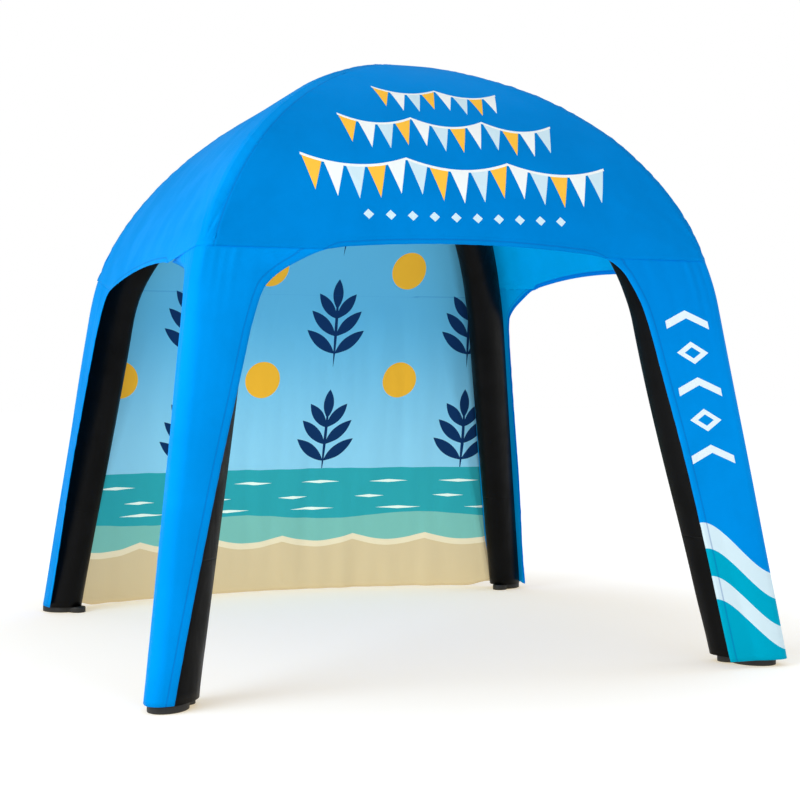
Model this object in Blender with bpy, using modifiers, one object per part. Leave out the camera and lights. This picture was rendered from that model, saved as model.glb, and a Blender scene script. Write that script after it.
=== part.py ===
"""Inflatable cube tent: four splayed inflated legs that arch to a crown, with a sewn canopy over them.

Metres, +Z up. The front doorway faces -Y and the wall closes the rear, at +Y.
One corner and one roof panel are written out, at the front left and the front, and turned about
the tent's centre for the other three. The covers then differ in reach and the legs in depth, and
the roof leans a little.
"""

import math

import bmesh
import bpy
from mathutils import Matrix, Vector

GAP = 0.0004  # between pieces that are sewn or fitted together
SEAM_GAP = 0.0014  # between the roof and the leg covers, whose edges lean
CLOTH = 0.0015

# The canopy's profile: half the tent's width at a height. The legs run straight up to the knee,
# then one curve reaches the crown.
FOOT_HALF = 1.595
KNEE_HALF, KNEE_HEIGHT = 1.350, 1.77
CROWN_HEIGHT = 3.10
KNEE_PULL, CROWN_PULL = 0.87, 0.44  # the curve's handles, up from the knee and out from the crown
CORNER = 0.064  # radius of the canopy's corners in plan, up to the knee
CROWN_ROUND, ROUND_POWER = 0.93, 3.4  # above it the plan turns from a square to a circle
LEAN = (0.10, -0.085)  # how far the crown stands off the middle of the feet: the roof leans a little
LEAN_MIDDLE = 0.16  # within this half width, the crown leans as one
SEAM_HEIGHT = 2.0  # where the roof is sewn to the leg covers
LAP = 0.003  # how far each roof panel runs past the round of its ridge, onto the next side

# The leg's oval section, half sizes: its depth, along the tent's diagonal, is in the table of legs
# up to the knee, and then runs to the crown's
LEG_CROWN_DEPTH = 0.190
LEG_FOOT_ACROSS, LEG_CROWN_ACROSS = 0.107, 0.118
SLEEVE_SPACE = 0.012  # between the canopy and the black sleeve inside it
LEG_KNEE = 0.47  # share of the leg's length below the knee
LEG_STEP = 0.005  # share over which its slope is taken
LEG_LEVEL = 0.12  # share over which its sections turn from level, on the foot, to square across it
CROWN_BLOCK = 0.15  # half width of the block in which the four legs meet
CROWN_EDGE = 0.04
CROWN_DROP = 0.0284  # from the canopy's crown down to the block's flat top

FOOT_HEIGHT = 0.034
FOOT_LOBES = (
    # half sizes along the diagonal and across it, and how far inwards
    (0.108, 0.082, 0.0),
    (0.050, 0.046, 0.130),
)
FOOT_OUT = 0.034  # the first lobe's middle, outwards from the leg's
FOOT_TUCKED = 0.116  # and no nearer the cover's corner than this
FOOT_EDGE = 0.006

# How far the leg covers reach from the corner along a side, at a height
COVER_REACH = (
    # height, reach
    (0.00, 0.185),
    (0.50, 0.240),
    (1.00, 0.305),
    (1.45, 0.372),
    (1.65, 0.402),
    (1.80, 0.440),
    (1.90, 0.488),
    (1.95, 0.530),
    (1.98, 0.572),
    (2.00, 0.625),
)
REACH_CHANGED = (1.80, 2.02)  # a side's own change of reach fades out between these heights
NO_CHANGE = (0.0, 0.0)
COVER_TUCK = 0.022  # how far the cover's edge turns in round the leg at the floor
TUCK_START, TUCK_TOP = 0.08, 1.10  # from the corner inwards, and from the floor up to this height
WRAP_TOP = 1.88  # a cover that wraps further in round its leg does so up to here
FALL_START = 1.30  # where a seam falls along a side, its cover is drawn down from this height up
ARCH_RISE = 0.034  # of the roof's lower edge over a doorway
TIP_SHARE = 0.995  # the roof panels stop just short of the crown's point
INSIDE = Vector((0.0, 0.0, 0.9))  # a point inside the tent, for which way a sheet faces

# The rear wall
WALL_TOP = 2.36
WALL_CREASE = 1.94  # it hangs against the roof above this, and bows outwards below
WALL_BOW = 0.30
WALL_INSET = 0.007  # inside the leg covers and the roof
WALL_HELD = ((1.12, 1.28), (1.62, 1.78))  # its edges are held to the covers between these heights
WALL_LAP = 0.020  # how far it runs in behind them
WALL_SIDE = 0.22  # its side edges come no nearer the middle than this, from the corner
WALL_BOW_POWER = 0.8  # below 1, so that the bow is fuller near the side edges
WALL_FLOOR = 0.004
WALL_LIFT = (0.82, 0.92)  # shares of the half width between which its bottom rises over the feet

# The covers and sleeves sit unevenly on their legs
LEGS = (
    # corner, change of its cover's reach on its clockwise side and on the other, half depth of the
    # leg, each at the foot and at the knee; how far the seam falls along those two sides, from the
    # ridge to the doorway; and how much further the cover wraps in round the leg, for each metre up
    ("front_left", (0.0, -0.100), (-0.074, -0.104), (0.165, 0.200), (0.040, 0.0), 0.040),
    ("front_right", (0.150, 0.034), NO_CHANGE, (0.195, 0.228), (0.0, 0.035), 0.0),
    ("rear_right", (0.050, -0.230), NO_CHANGE, (0.145, 0.165), (0.035, 0.0), 0.0),
    ("rear_left", NO_CHANGE, (0.0, 0.020), (0.132, 0.150), (0.0, 0.090), 0.0),
)
PANEL_NAMES = ("front", "right", "rear", "left")


def smooth(low, high, value):
    """0 below low, 1 above high, and a smooth step between."""
    share = min(max((value - low) / (high - low), 0.0), 1.0)
    return share * share * (3 - 2 * share)


def between(table, value):
    """The table's second column at this value of its first, on a smooth curve through the rows."""
    rows = list(table)
    last = len(rows) - 1
    index = max(i for i in range(last) if i == 0 or rows[i][0] <= value)
    (x0, y0), (x1, y1) = rows[index], rows[index + 1]
    before = rows[max(index - 1, 0)]
    after = rows[min(index + 2, last)]
    slope0 = (y1 - before[1]) / (x1 - before[0])
    slope1 = (after[1] - y0) / (after[0] - x0)
    step = x1 - x0
    share = min(max((value - x0) / step, 0.0), 1.0)
    cubed, squared = share**3, share**2
    return (
        y0 * (2 * cubed - 3 * squared + 1)
        + y1 * (3 * squared - 2 * cubed)
        + step * slope0 * (cubed - 2 * squared + share)
        + step * slope1 * (cubed - squared)
    )


def roof_curve(t):
    """(half width, height) of the roof from the knee, at t = 0, to the crown, at t = 1."""
    lean = (KNEE_HALF - FOOT_HALF) / KNEE_HEIGHT
    points = (
        (KNEE_HALF, KNEE_HEIGHT),
        (KNEE_HALF + lean * KNEE_PULL, KNEE_HEIGHT + KNEE_PULL),
        (CROWN_PULL, CROWN_HEIGHT),
        (0.0, CROWN_HEIGHT),
    )
    weights = ((1 - t) ** 3, 3 * (1 - t) ** 2 * t, 3 * (1 - t) * t**2, t**3)
    return tuple(sum(w * p[axis] for w, p in zip(weights, points)) for axis in (0, 1))


def curve_share(height):
    """The t of roof_curve at this height."""
    low, high = 0.0, 1.0
    for _ in range(40):
        middle = (low + high) / 2
        if roof_curve(middle)[1] < height:
            low = middle
        else:
            high = middle
    return low


def half_width(height):
    """Half the tent's width at a height below the crown."""
    if height <= KNEE_HEIGHT:
        return FOOT_HALF + (KNEE_HALF - FOOT_HALF) * height / KNEE_HEIGHT
    return roof_curve(curve_share(height))[0]


def corner_radius(half):
    rise = max(1 - half / KNEE_HALF, 0.0)
    tight = CORNER / KNEE_HALF
    share = tight + (CROWN_ROUND - tight) * rise**ROUND_POWER
    return CORNER if rise == 0 else half * share


def ridge_out(half):
    """The ridge's distance from the tent's axis, along the diagonal."""
    return (half - corner_radius(half) * (1 - math.sqrt(0.5))) * math.sqrt(2)


def on_side(half, run):
    """A point of the square plan with round corners. run is measured along the front side from the
    front left ridge, and may pass the front right ridge or be negative."""
    radius = corner_radius(half)
    arc = radius * math.pi / 4
    side = 2 * (half - radius) + 2 * arc
    if run < 0:
        x, y = on_side(half, run + side)
        return y, -x
    if run > side:
        x, y = on_side(half, run - side)
        return -y, x
    centre = half - radius
    if run < arc:
        angle = math.radians(225) + run / radius
        return radius * math.cos(angle) - centre, radius * math.sin(angle) - centre
    if run > side - arc:
        angle = math.radians(315) - (side - run) / radius
        return radius * math.cos(angle) + centre, radius * math.sin(angle) - centre
    return run - arc - centre, -half


def side_length(half):
    """Length of one side of the plan, from ridge to ridge."""
    radius = corner_radius(half)
    return 2 * (half - radius) + radius * math.pi / 2


def reach(height, change=NO_CHANGE):
    changed = change[0] + (change[1] - change[0]) * min(height / KNEE_HEIGHT, 1)
    return between(COVER_REACH, height) + changed * (1 - smooth(*REACH_CHANGED, height))


def seam_drop(run, length, falls):
    """How far the seam lies below its own height on the ridges, this far along a side. falls are
    its drops where it meets the doorway at the side's two ends."""
    start = CORNER * math.pi / 4
    full = reach(SEAM_HEIGHT) - CORNER + start
    if full < run < length - full:
        return falls[0] + (falls[1] - falls[0]) * (run - full) / (length - 2 * full)
    fall, along = (falls[0], run) if run <= full else (falls[1], length - run)
    return fall * max(along - start, 0) / (full - start)


def placed(point, turn, half):
    """The point turned by quarter turns, and shifted as the roof leans at this half width."""
    low = half_width(SEAM_HEIGHT)
    share = 1 - max(half - LEAN_MIDDLE, 0) / (low - LEAN_MIDDLE)
    shift = Vector((*LEAN, 0)) * max(share, 0)
    return Matrix.Rotation(turn * math.pi / 2, 3, "Z") @ point + shift


def material(name, colour, roughness):
    made = bpy.data.materials.new(name)
    made.use_nodes = True
    shader = made.node_tree.nodes["Principled BSDF"]
    shader.inputs["Base Color"].default_value = (*colour, 1.0)
    shader.inputs["Roughness"].default_value = roughness
    return made


def add(name, bm, finish):
    """An object of this mesh."""
    mesh = bpy.data.meshes.new(name)
    bm.to_mesh(mesh)
    bm.free()
    mesh.materials.append(finish)
    made = bpy.data.objects.new(name, mesh)
    collection.objects.link(made)
    made.parent = centre
    return made


def shaped_grid(columns, rows, place):
    """A grid of quads, each corner moved to place(u, v), with u and v from 0 to 1."""
    bm = bmesh.new()
    bmesh.ops.create_grid(bm, x_segments=columns, y_segments=rows, size=0.5)
    for vert in bm.verts:
        vert.co = place(vert.co.x + 0.5, vert.co.y + 0.5)
    return bm


def sheet(name, columns, rows, place, finish):
    """A sheet of cloth whose outer face is the shaped grid."""
    bm = shaped_grid(columns, rows, place)
    bmesh.ops.recalc_face_normals(bm, faces=bm.faces)
    outwards = sum(face.normal.dot(face.calc_center_median() - INSIDE) for face in bm.faces)
    if outwards < 0:
        bmesh.ops.reverse_faces(bm, faces=bm.faces)
    made = add(name, bm, finish)
    solid = made.modifiers.new("cloth", "SOLIDIFY")
    solid.thickness = CLOTH
    solid.offset = -1
    solid.use_even_offset = True
    return made


# Roof panels

ROOF_ROWS = 14
LAP_SHARE = 0.1  # of a side's length, near the crown, where the lap narrows
FACE_COLUMNS = 9  # across the flat of a side
CORNER_COLUMNS = 6  # round a corner and over its lap


def roof_panel(name, turn):
    """One roof panel. It starts a lap in from its own left ridge, and ends a lap past the right one."""
    columns = FACE_COLUMNS + CORNER_COLUMNS
    corner_starts = FACE_COLUMNS / columns
    seam_half = half_width(SEAM_HEIGHT)
    door_half = seam_half - reach(SEAM_HEIGHT)
    falls = LEGS[turn][4][1], LEGS[(turn + 1) % 4][4][0]

    def run_at(u, half):
        length = side_length(half)
        lap = min(CORNER * math.pi / 4 + LAP, length * LAP_SHARE)
        start = lap + GAP
        corner = length - corner_radius(half) * math.pi / 4
        end = length + lap - GAP
        if u <= corner_starts:
            return start + (corner - start) * u / corner_starts
        return corner + (end - corner) * (u - corner_starts) / (1 - corner_starts)

    def place(u, v):
        run = run_at(u, seam_half)
        across = on_side(seam_half, run)[0]
        rise = ARCH_RISE * max(1 - (across / door_half) ** 2, 0)
        rise -= seam_drop(run, side_length(seam_half), falls)
        low = curve_share(SEAM_HEIGHT + SEAM_GAP + rise)
        half, height = roof_curve(low + (TIP_SHARE - low) * v)
        x, y = on_side(half, run_at(u, half))
        return placed(Vector((x, y, height)), turn, half)

    return sheet(name, columns, ROOF_ROWS, place, canopy_cloth)


# Leg covers


def cover_tuck(height, inwards, wrap=0.0):
    """How far the cover turns in round the leg, this far inwards from the corner."""
    past = (inwards - TUCK_START) / (reach(min(height, SEAM_HEIGHT)) - TUCK_START)
    deep = COVER_TUCK * (1 - smooth(0, TUCK_TOP, height))
    deep += wrap * (height + 0.5) * (1 - smooth(WRAP_TOP, SEAM_HEIGHT, height))
    return deep * min(max(past, 0), 1) ** 2


COVER_ROWS_CROWD = 1.35  # a power above 1 sets more rows near the seam, where the edge curves most
COVER_COLUMNS_CROWD = 0.55  # sets more columns round the corner than on the two sides


def leg_cover(name, turn, before, after, falls, wrap):
    """The canopy cloth round the outside of one leg, from its foot to the seam under the roof."""
    columns, rows = 14, 13
    bottom = FOOT_HEIGHT + 2 * GAP
    top = SEAM_HEIGHT

    def place(u, v):
        height = bottom + (top - bottom) * (1 - (1 - v) ** COVER_ROWS_CROWD)
        change, fall = (after, falls[1]) if u > 0.5 else (before, falls[0])
        arm = reach(height, change) - CORNER + CORNER * math.pi / 4
        across = 2 * u - 1
        run = arm * (across + (across**3 - across) * COVER_COLUMNS_CROWD)
        drawn = smooth(FALL_START, SEAM_HEIGHT, height)
        height -= drawn * seam_drop(abs(run), side_length(half_width(SEAM_HEIGHT)), (fall, 0))
        half = half_width(height)
        x, y = on_side(half, run)
        if run > 0:
            y += cover_tuck(height, half + x, wrap)
        else:
            x += cover_tuck(height, half + y, wrap)
        return placed(Vector((x, y, height)), turn, half)

    return sheet(name, columns, rows, place, canopy_cloth)


# Legs


def canopy_station(v):
    """(half width, height) of the canopy beside the leg, from the foot at v = 0 to the crown at 1."""
    if v >= LEG_KNEE:
        return roof_curve((v - LEG_KNEE) / (1 - LEG_KNEE))
    bottom = FOOT_HEIGHT + GAP
    height = bottom + (KNEE_HEIGHT - bottom) * v / LEG_KNEE
    return half_width(height), height


def leg_station(v, depths):
    """Centre, tilt and half sizes of the leg's oval section, from the foot at v = 0 to the crown at 1.
    depths are the section's half depths at the foot and at the knee.

    The centre is (distance from the tent's axis along the diagonal, height)."""
    half, height = canopy_station(v)
    ahead, behind = canopy_station(min(v + LEG_STEP, 1)), canopy_station(max(v - LEG_STEP, 0))
    inwards = ridge_out(behind[0]) - ridge_out(ahead[0])
    grown = smooth(0, LEG_KNEE, v)
    along = depths[0] + (depths[1] - depths[0]) * grown
    along += (LEG_CROWN_DEPTH - depths[1]) * smooth(LEG_KNEE, 1, v)
    across = LEG_FOOT_ACROSS + (LEG_CROWN_ACROSS - LEG_FOOT_ACROSS) * grown
    # the ridge's own slope gives the way inwards; the section at the foot lies flat on it
    tilt = math.atan2(inwards, ahead[1] - behind[1]) * smooth(0, LEG_LEVEL, v)
    out = ridge_out(half) - along * math.cos(tilt)
    up = height - along * math.sin(tilt)
    return out, up, tilt, along - SLEEVE_SPACE, across - SLEEVE_SPACE


def leg(name, turn, depths):
    """One inflated leg in its black sleeve, from its foot to the crown block."""
    around, rows = 14, 19
    diagonal = turn + 0.5  # from -X, which is where the leg is drawn
    end = placed(Vector((-CROWN_BLOCK - GAP, 0, 0)), diagonal, 0)
    inwards = placed(Vector((1, 0, 0)), diagonal, KNEE_HALF)

    def place(u, v):
        out, up, tilt, along, across = leg_station(v, depths)
        angle = 2 * math.pi * u
        out += along * math.cos(angle) * math.cos(tilt)
        up += along * math.cos(angle) * math.sin(tilt)
        point = Vector((-out, across * math.sin(angle), up))
        return placed(point, diagonal, canopy_station(v)[0])

    bm = shaped_grid(around, rows, place)
    bmesh.ops.remove_doubles(bm, verts=bm.verts, dist=1e-5)
    bmesh.ops.holes_fill(bm, edges=bm.edges)
    whole = bm.verts[:] + bm.edges[:] + bm.faces[:]
    cut = bmesh.ops.bisect_plane(bm, geom=whole, plane_co=end, plane_no=inwards, clear_outer=True)
    rim = [item for item in cut["geom_cut"] if isinstance(item, bmesh.types.BMEdge)]
    bmesh.ops.holes_fill(bm, edges=rim)
    bmesh.ops.recalc_face_normals(bm, faces=bm.faces)
    return add(name, bm, sleeve_cloth)


def crown_block(name):
    """The block in which the four legs meet, one flat side against the end of each."""
    height = 2 * (LEG_CROWN_DEPTH - SLEEVE_SPACE)
    top = CROWN_HEIGHT - CROWN_DROP
    bm = bmesh.new()
    bmesh.ops.create_cube(bm, size=1)
    bmesh.ops.scale(bm, vec=(2 * CROWN_BLOCK, 2 * CROWN_BLOCK, height), verts=bm.verts)
    upright = [edge for edge in bm.edges if abs(edge.verts[0].co.z - edge.verts[1].co.z) > height / 2]
    bmesh.ops.bevel(
        bm, geom=upright, offset=CROWN_EDGE, segments=3, profile=0.5, affect="EDGES", material=-1
    )
    bmesh.ops.rotate(bm, verts=bm.verts, matrix=Matrix.Rotation(math.pi / 4, 3, "Z"))
    bmesh.ops.translate(bm, vec=(*LEAN, top - height / 2), verts=bm.verts)
    return add(name, bm, sleeve_cloth)


# Feet


def foot(name, turn, depths):
    """A flat base of two oval lobes, the larger under the cover and the smaller inside it."""
    out = min(leg_station(0, depths)[0] + FOOT_OUT, ridge_out(FOOT_HALF) - FOOT_TUCKED)
    lobes = []
    for along, across, inwards in FOOT_LOBES:
        bm = bmesh.new()
        bmesh.ops.create_cone(
            bm, cap_ends=True, segments=28, radius1=along, radius2=along, depth=FOOT_HEIGHT
        )
        bmesh.ops.scale(bm, vec=(1, across / along, 1), verts=bm.verts)
        top = [edge for edge in bm.edges if all(vert.co.z > 0 for vert in edge.verts)]
        bmesh.ops.bevel(
            bm, geom=top, offset=FOOT_EDGE, segments=2, profile=0.5, affect="EDGES", material=-1
        )
        bmesh.ops.translate(bm, vec=(inwards - out, 0, FOOT_HEIGHT / 2), verts=bm.verts)
        around = Matrix.Rotation((turn + 0.5) * math.pi / 2, 3, "Z")
        bmesh.ops.rotate(bm, verts=bm.verts, matrix=around)
        lobes.append(bm)
    made = add(name, lobes[0], foot_rubber)
    cutter = add(name + "_lobe", lobes[1], foot_rubber)
    cutter.hide_render = True
    cutter.display_type = "WIRE"
    join = made.modifiers.new("lobe", "BOOLEAN")
    join.operation = "UNION"
    join.solver = "EXACT"
    join.object = cutter
    return made


# Rear wall


def wall_half(height):
    """Half the wall's width: it runs in behind the leg covers by a lap."""
    return half_width(height) - min(reach(min(height, SEAM_HEIGHT)), WALL_SIDE) + WALL_LAP


def wall(name):
    """The wall that closes the rear doorway: inside the roof at its top, and bowed outwards below."""
    columns, rows = 24, 14

    def place(u, v):
        across = 2 * u - 1
        low = WALL_FLOOR + FOOT_HEIGHT * smooth(*WALL_LIFT, abs(across))
        height = low + (WALL_TOP - low) * v
        half = half_width(height)
        door = half - reach(min(height, SEAM_HEIGHT))
        # the outermost column on each side lies behind the leg cover
        lapped = max(abs(across) - 1 + 2 / columns, 0) * columns / 2
        x = min(abs(across) / (1 - 2 / columns), 1) * door + lapped * (wall_half(height) - door)
        x = math.copysign(x, across)
        hang = 1 - smooth(0, WALL_CREASE, height)
        bow = WALL_BOW * hang * max(1 - (x / door) ** 2, 0) ** WALL_BOW_POWER
        held = lapped * (smooth(*WALL_HELD[0], height) - smooth(*WALL_HELD[1], height))
        inset = WALL_INSET + (CLOTH + GAP - WALL_INSET) * held
        y = half - cover_tuck(height, half - abs(x)) - inset + bow
        return placed(Vector((x, y, height)), 0, half)

    return sheet(name, columns, rows, place, wall_cloth)


for old in list(bpy.data.objects):
    bpy.data.objects.remove(old)

collection = bpy.data.collections.new("inflatable_cube_tent")
bpy.context.scene.collection.children.link(collection)

canopy_cloth = material("canopy_cloth", (0.0, 0.26, 0.83), 0.45)
wall_cloth = material("wall_cloth", (0.11, 0.42, 0.60), 0.60)
sleeve_cloth = material("sleeve_cloth", (0.010, 0.010, 0.011), 0.50)
foot_rubber = material("foot_rubber", (0.016, 0.016, 0.017), 0.60)

# The legs' square is shifted so that the whole tent, bowed wall and all, is centred on the origin.
front_reach = half_width(FOOT_HEIGHT + 2 * GAP)
wall_reach = half_width(WALL_FLOOR) - COVER_TUCK - WALL_INSET + WALL_BOW
centre = bpy.data.objects.new("tent_centre", None)
centre.location.y = (front_reach - wall_reach) / 2
collection.objects.link(centre)

for turn, side in enumerate(PANEL_NAMES):
    roof_panel("roof_" + side, turn)
for turn, (corner, before, after, depths, falls, wrap) in enumerate(LEGS):
    leg_cover("leg_cover_" + corner, turn, before, after, falls, wrap)
    leg("leg_" + corner, turn, depths)
    foot("foot_" + corner, turn, depths)
crown_block("crown_block")
wall("rear_wall")
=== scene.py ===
# Inflatable cube tent: cloth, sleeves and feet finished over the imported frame. Metres, +Z up.
import functools
import math

import bmesh
import bpy
from mathutils import Matrix, Vector, noise


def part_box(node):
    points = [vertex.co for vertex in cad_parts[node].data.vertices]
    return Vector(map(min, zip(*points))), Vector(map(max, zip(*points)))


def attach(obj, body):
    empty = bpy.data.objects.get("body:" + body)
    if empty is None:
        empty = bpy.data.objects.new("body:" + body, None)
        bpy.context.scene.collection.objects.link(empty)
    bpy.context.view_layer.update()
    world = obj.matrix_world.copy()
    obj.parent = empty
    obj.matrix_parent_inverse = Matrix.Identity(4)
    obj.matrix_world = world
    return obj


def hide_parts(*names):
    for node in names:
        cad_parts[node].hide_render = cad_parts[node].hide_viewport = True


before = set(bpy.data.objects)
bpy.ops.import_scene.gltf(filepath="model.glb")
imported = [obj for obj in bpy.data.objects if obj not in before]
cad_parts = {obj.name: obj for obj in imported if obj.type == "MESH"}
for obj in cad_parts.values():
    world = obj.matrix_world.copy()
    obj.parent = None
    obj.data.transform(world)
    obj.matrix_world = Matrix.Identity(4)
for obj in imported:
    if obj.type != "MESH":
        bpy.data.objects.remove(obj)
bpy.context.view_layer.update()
print("frame loaded:", len(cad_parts), "nodes")

collection = bpy.data.collections.new("finishedTent")
bpy.context.scene.collection.children.link(collection)

# The tent's own lines, the same as the frame was cut to
plan = {
    "gap": 0.0004,
    "cloth": 0.0015,
    "footHalf": 1.595,
    "kneeHalf": 1.350,
    "kneeHeight": 1.77,
    "crownHeight": 3.10,
    "kneePull": 0.87,  # how far the roof's curve keeps the leg's slope
    "crownPull": 0.44,
    "corner": 0.064,
    "crownRound": 0.93,  # the square plan turns round towards the crown
    "roundPower": 3.4,
    "lean": (0.10, -0.085),  # of the crown
    "leanMiddle": 0.16,  # and no less within this half width of it
    "seamHeight": 2.0,
    "changeFades": (1.80, 2.02),
    "footHeight": 0.034,
}
coverReach = (  # height, and how far a cover reaches round its leg there
    (0.00, 0.185),
    (0.50, 0.240),
    (1.00, 0.305),
    (1.45, 0.372),
    (1.65, 0.402),
    (1.80, 0.440),
    (1.90, 0.488),
    (1.95, 0.530),
    (1.98, 0.572),
    (2.00, 0.625),
)
even = (0.0, 0.0)
corners = (
    # corner, change of its cover's reach on its clockwise side and the other, half depth of its
    # sleeve, each at the foot and at the knee; how far the seam falls along those two sides, and
    # how much further the cover wraps in round the leg, for each metre up
    ("front_left", (0.0, -0.100), (-0.074, -0.104), (0.165, 0.200), (0.040, 0.0), 0.040),
    ("front_right", (0.150, 0.034), even, (0.195, 0.228), (0.0, 0.035), 0.0),
    ("rear_right", (0.050, -0.230), even, (0.145, 0.165), (0.035, 0.0), 0.0),
    ("rear_left", even, (0.0, 0.020), (0.132, 0.150), (0.0, 0.090), 0.0),
)
sides = ("front", "right", "rear", "left")
coversLow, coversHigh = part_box("leg_cover_front_left")[0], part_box("leg_cover_rear_left")[1]
centreY = (coversLow[1] + coversHigh[1]) / 2  # the legs' square is set off centre by the bowed wall


def smooth(low, high, value):
    share = min(max((value - low) / (high - low), 0.0), 1.0)
    return share * share * (3 - 2 * share)


def between(rows, value):
    last = len(rows) - 1
    index = max(i for i in range(last) if i == 0 or rows[i][0] <= value)
    (x0, y0), (x1, y1) = rows[index], rows[index + 1]
    before, after = rows[max(index - 1, 0)], rows[min(index + 2, last)]
    slope0 = (y1 - before[1]) / (x1 - before[0])
    slope1 = (after[1] - y0) / (after[0] - x0)
    step = x1 - x0
    t = min(max((value - x0) / step, 0.0), 1.0)
    return (
        y0 * (2 * t**3 - 3 * t**2 + 1)
        + y1 * (3 * t**2 - 2 * t**3)
        + step * slope0 * (t**3 - 2 * t**2 + t)
        + step * slope1 * (t**3 - t**2)
    )


legSlope = (plan["kneeHalf"] - plan["footHalf"]) / plan["kneeHeight"]


def roofCurve(t):
    points = (
        (plan["kneeHalf"], plan["kneeHeight"]),
        (plan["kneeHalf"] + legSlope * plan["kneePull"], plan["kneeHeight"] + plan["kneePull"]),
        (plan["crownPull"], plan["crownHeight"]),
        (0.0, plan["crownHeight"]),
    )
    weights = ((1 - t) ** 3, 3 * (1 - t) ** 2 * t, 3 * (1 - t) * t**2, t**3)
    return tuple(sum(w * p[axis] for w, p in zip(weights, points)) for axis in (0, 1))


@functools.cache
def curveShare(height):
    low, high = 0.0, 1.0
    for _ in range(30):
        middle = (low + high) / 2
        if roofCurve(middle)[1] < height:
            low = middle
        else:
            high = middle
    return low


def halfWidth(height):
    if height <= plan["kneeHeight"]:
        return plan["footHalf"] + legSlope * height
    return roofCurve(curveShare(height))[0]


def cornerRadius(half):
    rise = max(1 - half / plan["kneeHalf"], 0.0)
    tight = plan["corner"] / plan["kneeHalf"]
    share = tight + (plan["crownRound"] - tight) * rise ** plan["roundPower"]
    return plan["corner"] if rise == 0 else half * share


def ridgeOut(half):
    return (half - cornerRadius(half) * (1 - math.sqrt(0.5))) * math.sqrt(2)


def onSide(half, run):
    # a point of the square plan with round corners, run metres along from its left ridge
    radius = cornerRadius(half)
    arc = radius * math.pi / 4
    side = 2 * (half - radius) + 2 * arc
    if run < 0:
        x, y = onSide(half, run + side)
        return y, -x
    if run > side:
        x, y = onSide(half, run - side)
        return -y, x
    middle = half - radius
    if run < arc:
        angle = math.radians(225) + run / radius
        return radius * math.cos(angle) - middle, radius * math.sin(angle) - middle
    if run > side - arc:
        angle = math.radians(315) - (side - run) / radius
        return radius * math.cos(angle) + middle, radius * math.sin(angle) - middle
    return run - arc - middle, -half


def sideLength(half):
    radius = cornerRadius(half)
    return 2 * (half - radius) + radius * math.pi / 2


def reach(height, change=even):
    changed = change[0] + (change[1] - change[0]) * min(height / plan["kneeHeight"], 1)
    return between(coverReach, height) + changed * (1 - smooth(*plan["changeFades"], height))


def seamDrop(run, length, falls):
    # how far the seam lies below its height on the ridges, run metres along a side
    start = plan["corner"] * math.pi / 4
    full = reach(plan["seamHeight"]) - plan["corner"] + start
    if full < run < length - full:
        return falls[0] + (falls[1] - falls[0]) * (run - full) / (length - 2 * full)
    fall, along = (falls[0], run) if run <= full else (falls[1], length - run)
    return fall * max(along - start, 0) / (full - start)


def quarters(turn):
    return Matrix.Rotation(turn * math.pi / 2, 3, "Z")


def placed(point, turn, half):
    low = halfWidth(plan["seamHeight"])
    share = max(1 - max(half - plan["leanMiddle"], 0) / (low - plan["leanMiddle"]), 0)
    shift = Vector((plan["lean"][0] * share, plan["lean"][1] * share + centreY, 0))
    return quarters(turn) @ point + shift


arcSteps = 400
roofArcs = [0.0]  # length of the roof's profile from the knee, in steps of t
for step in range(arcSteps):
    (x0, z0), (x1, z1) = roofCurve(step / arcSteps), roofCurve((step + 1) / arcSteps)
    roofArcs.append(roofArcs[-1] + math.hypot(x1 - x0, z1 - z0))


def roofArc(t):
    place = min(max(t, 0), 1) * arcSteps
    index = min(int(place), arcSteps - 1)
    return roofArcs[index] + (roofArcs[index + 1] - roofArcs[index]) * (place - index)


def ripple(x, y, z=0.0):
    return noise.noise(Vector((x, y, z)))


def toLinear(*colour):
    shares = (value / 255 for value in colour)
    return tuple(((c + 0.055) / 1.055) ** 2.4 if c > 0.04 else c / 12.92 for c in shares) + (1.0,)


# Shader helpers


def feed(tree, socket, value):
    if isinstance(value, bpy.types.NodeSocket):
        tree.links.new(value, socket)
    else:
        socket.default_value = value


def newNode(tree, kind):
    return tree.nodes.new("ShaderNode" + kind)


def maths(tree, operation, *values):
    node = newNode(tree, "Math")
    node.operation = operation
    for index, value in enumerate(values):
        feed(tree, node.inputs[index], value)
    return node.outputs[0]


def sumOf(operation):
    # adds one sum of this kind to a shader
    return lambda tree, *values: maths(tree, operation, *values)


times, over = sumOf("MULTIPLY"), sumOf("DIVIDE")
plus, minus = sumOf("ADD"), sumOf("SUBTRACT")
less, more = sumOf("LESS_THAN"), sumOf("GREATER_THAN")
size, wave, whole = sumOf("ABSOLUTE"), sumOf("SINE"), sumOf("FLOOR")
toAndFro, within, power = sumOf("PINGPONG"), sumOf("FLOORED_MODULO"), sumOf("POWER")


def ramp(tree, value, low, high, start=0.0, end=1.0):
    node = newNode(tree, "MapRange")
    node.interpolation_type = "SMOOTHSTEP"
    for index, item in enumerate((value, low, high, start, end)):
        feed(tree, node.inputs[index], item)
    return node.outputs[0]


def blend(tree, share, first, second):
    node = newNode(tree, "Mix")
    node.data_type = "RGBA"
    feed(tree, node.inputs[0], share)
    feed(tree, node.inputs[6], first)
    feed(tree, node.inputs[7], second)
    return node.outputs[2]


def splitUp(tree, vector):
    node = newNode(tree, "SeparateXYZ")
    tree.links.new(vector, node.inputs[0])
    return node.outputs[0], node.outputs[1], node.outputs[2]


def joinUp(tree, x, y, z=0.0):
    node = newNode(tree, "CombineXYZ")
    for index, value in enumerate((x, y, z)):
        feed(tree, node.inputs[index], value)
    return node.outputs[0]


def attribute(tree, name):
    node = newNode(tree, "Attribute")
    node.attribute_name = name
    return node.outputs["Fac"]


def clothSpace(tree):
    node = newNode(tree, "UVMap")
    node.uv_map = "cloth"
    return node.outputs[0]


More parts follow.
